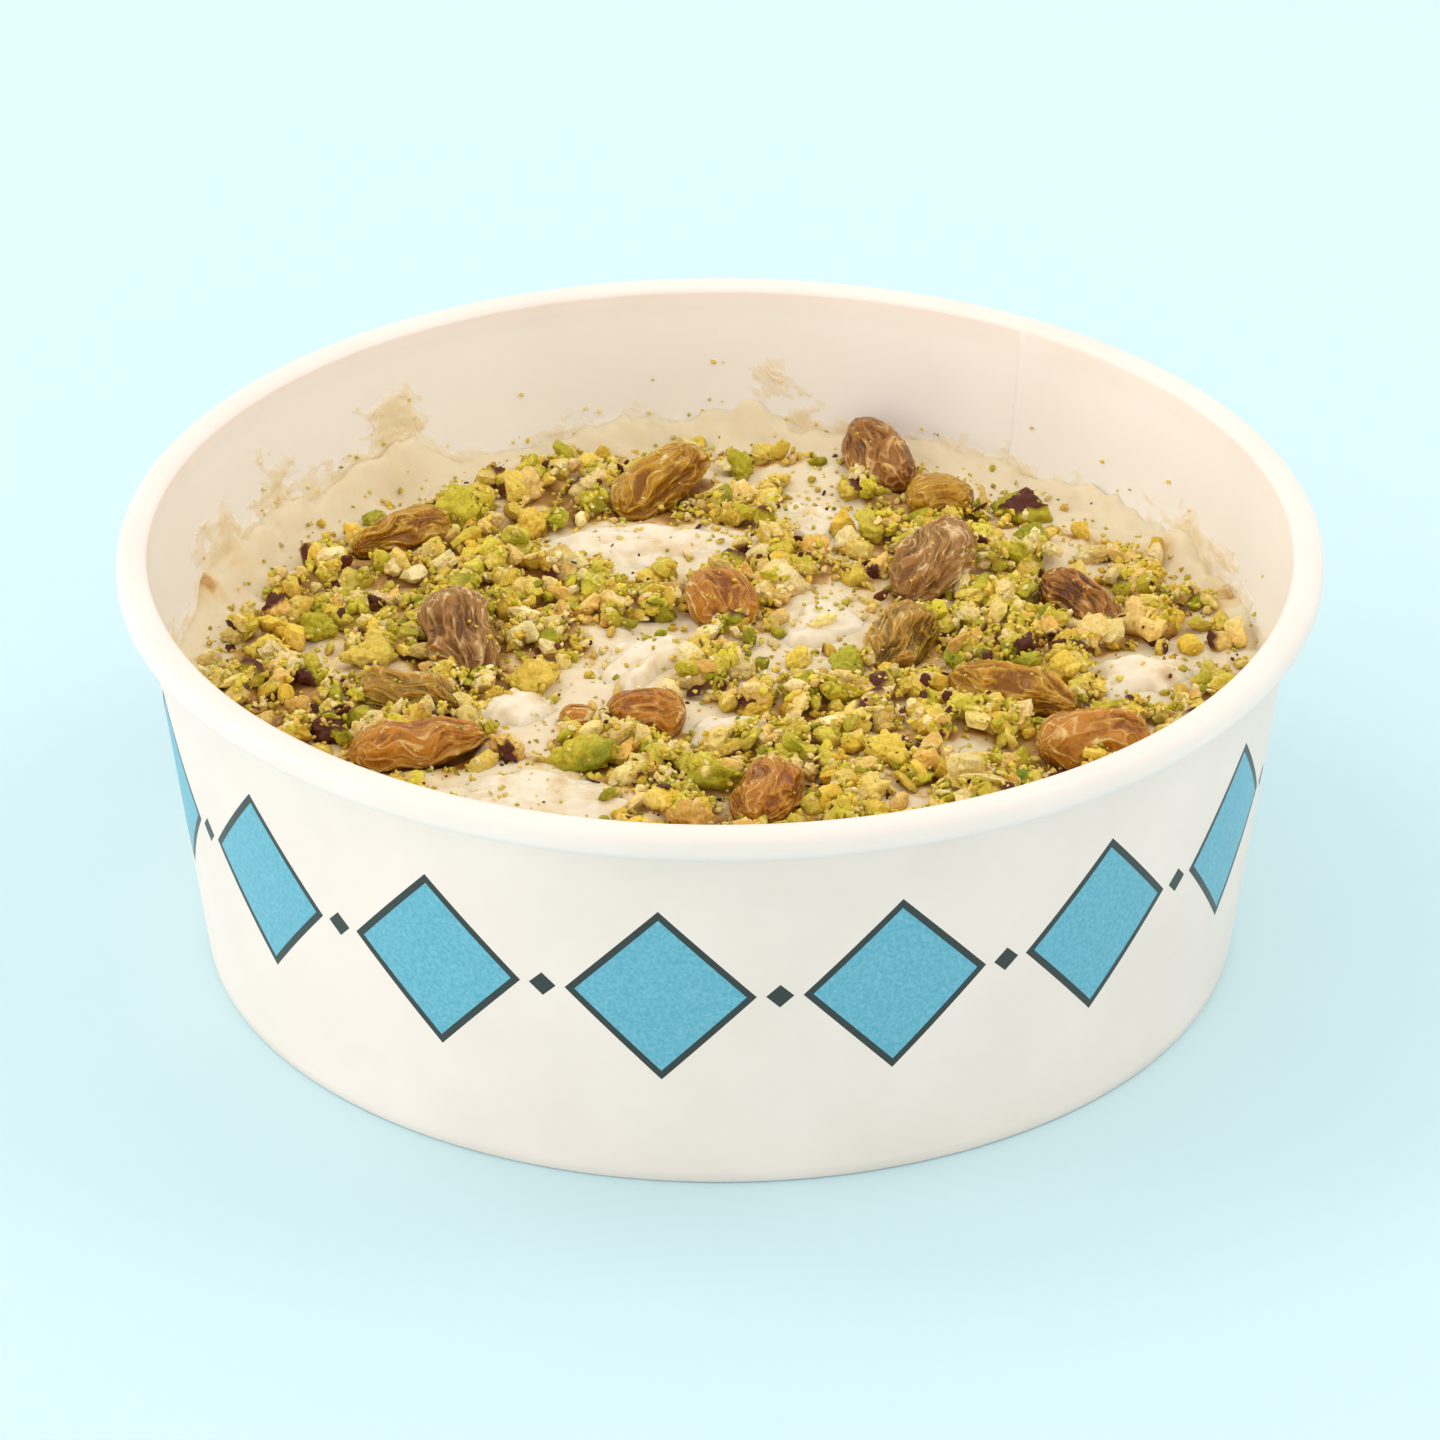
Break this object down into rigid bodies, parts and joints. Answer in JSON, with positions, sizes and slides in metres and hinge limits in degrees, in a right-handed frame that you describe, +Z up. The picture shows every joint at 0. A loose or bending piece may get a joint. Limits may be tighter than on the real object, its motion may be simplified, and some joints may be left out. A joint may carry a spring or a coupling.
{
  "type": "bowl of umm ali",
  "caption": "Round white paper bowl filled with umm ali, a baked milk and pastry pudding topped with cream, chopped pistachio and hazelnut pieces and raisins.",
  "frame": {"origin": "centre of the foot ring's underside", "axes": "+Z up through the middle of the bowl, -Y towards the side that the picture's camera looks at"},
  "size_m": [0.15, 0.15, 0.054],
  "materials": {
    "paper_board": "smooth coated paper board, white, with a plain printed band of sky blue shapes",
    "baked_milk_pudding": "moist baked milk pudding under chopped nuts",
    "clotted_cream": "soft moist cream",
    "raisin_golden": "wrinkled, slightly glossy, lets some light through",
    "raisin_brown": "wrinkled, slightly glossy",
    "raisin_green": "wrinkled, slightly glossy"
  },
  "bodies": {
    "root": {"bowl_side": "paper_board", "bowl_base": "paper_board", "pudding": "baked_milk_pudding", "cream_1": "clotted_cream", "cream_2": "clotted_cream", "cream_3": "clotted_cream", "cream_4": "clotted_cream", "cream_5": "clotted_cream", "cream_6": "clotted_cream", "cream_7": "clotted_cream", "cream_8": "clotted_cream", "raisin_01": "raisin_brown", "raisin_02": "raisin_golden", "raisin_03": "raisin_golden", "raisin_04": "raisin_brown", "raisin_05": "raisin_green", "raisin_06": "raisin_golden", "raisin_07": "raisin_brown", "raisin_08": "raisin_golden", "raisin_09": "raisin_golden", "raisin_10": "raisin_golden", "raisin_11": "raisin_green", "raisin_12": "raisin_brown", "raisin_13": "raisin_brown", "raisin_14": "raisin_golden", "raisin_15": "raisin_brown", "raisin_16": "raisin_golden", "raisin_17": "raisin_brown", "raisin_18": "raisin_golden", "raisin_19": "raisin_green"}
  },
  "joints": []
}
